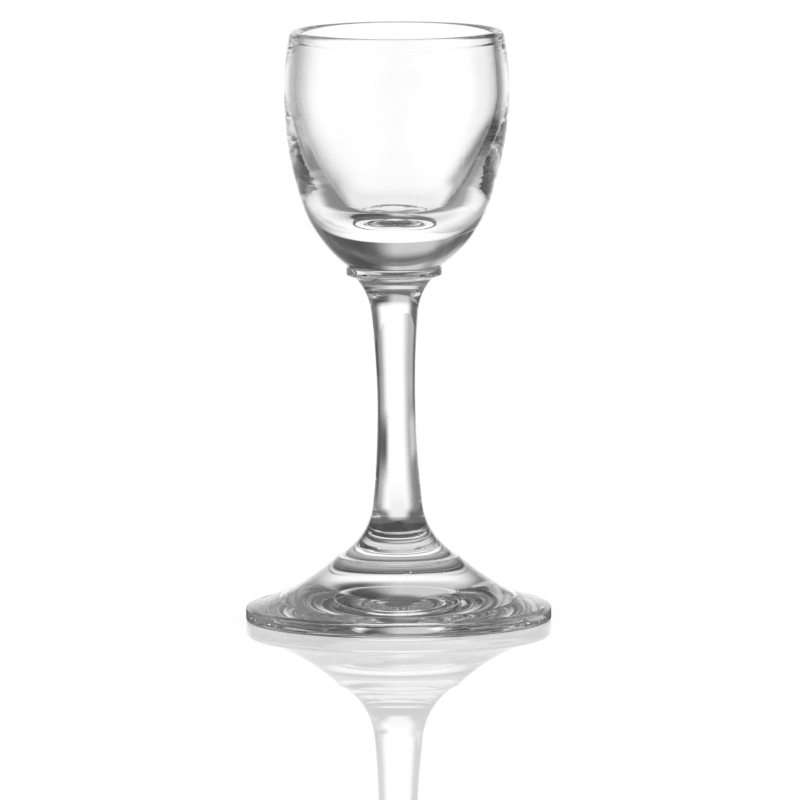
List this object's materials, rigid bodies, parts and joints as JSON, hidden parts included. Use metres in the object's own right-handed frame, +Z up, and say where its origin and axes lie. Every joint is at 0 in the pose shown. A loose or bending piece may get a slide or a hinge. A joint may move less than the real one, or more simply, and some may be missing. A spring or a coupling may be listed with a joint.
{
  "type": "cordial glass",
  "caption": "Small clear stemmed cordial glass: thick-walled bowl with a rounded rim, collar disc, solid waisted stem and spreading round foot.",
  "frame": {"origin": "centre of the circle the foot stands on, at table level", "axes": "+Z up along the glass's axis of turning; X and Y are any two directions across it"},
  "size_m": [0.0568, 0.0568, 0.11],
  "materials": {
    "clear_glass": "clear, fire-polished"
  },
  "bodies": {
    "root": {"bowl": "clear_glass", "collar": "clear_glass", "stem": "clear_glass", "foot": "clear_glass"}
  },
  "joints": []
}
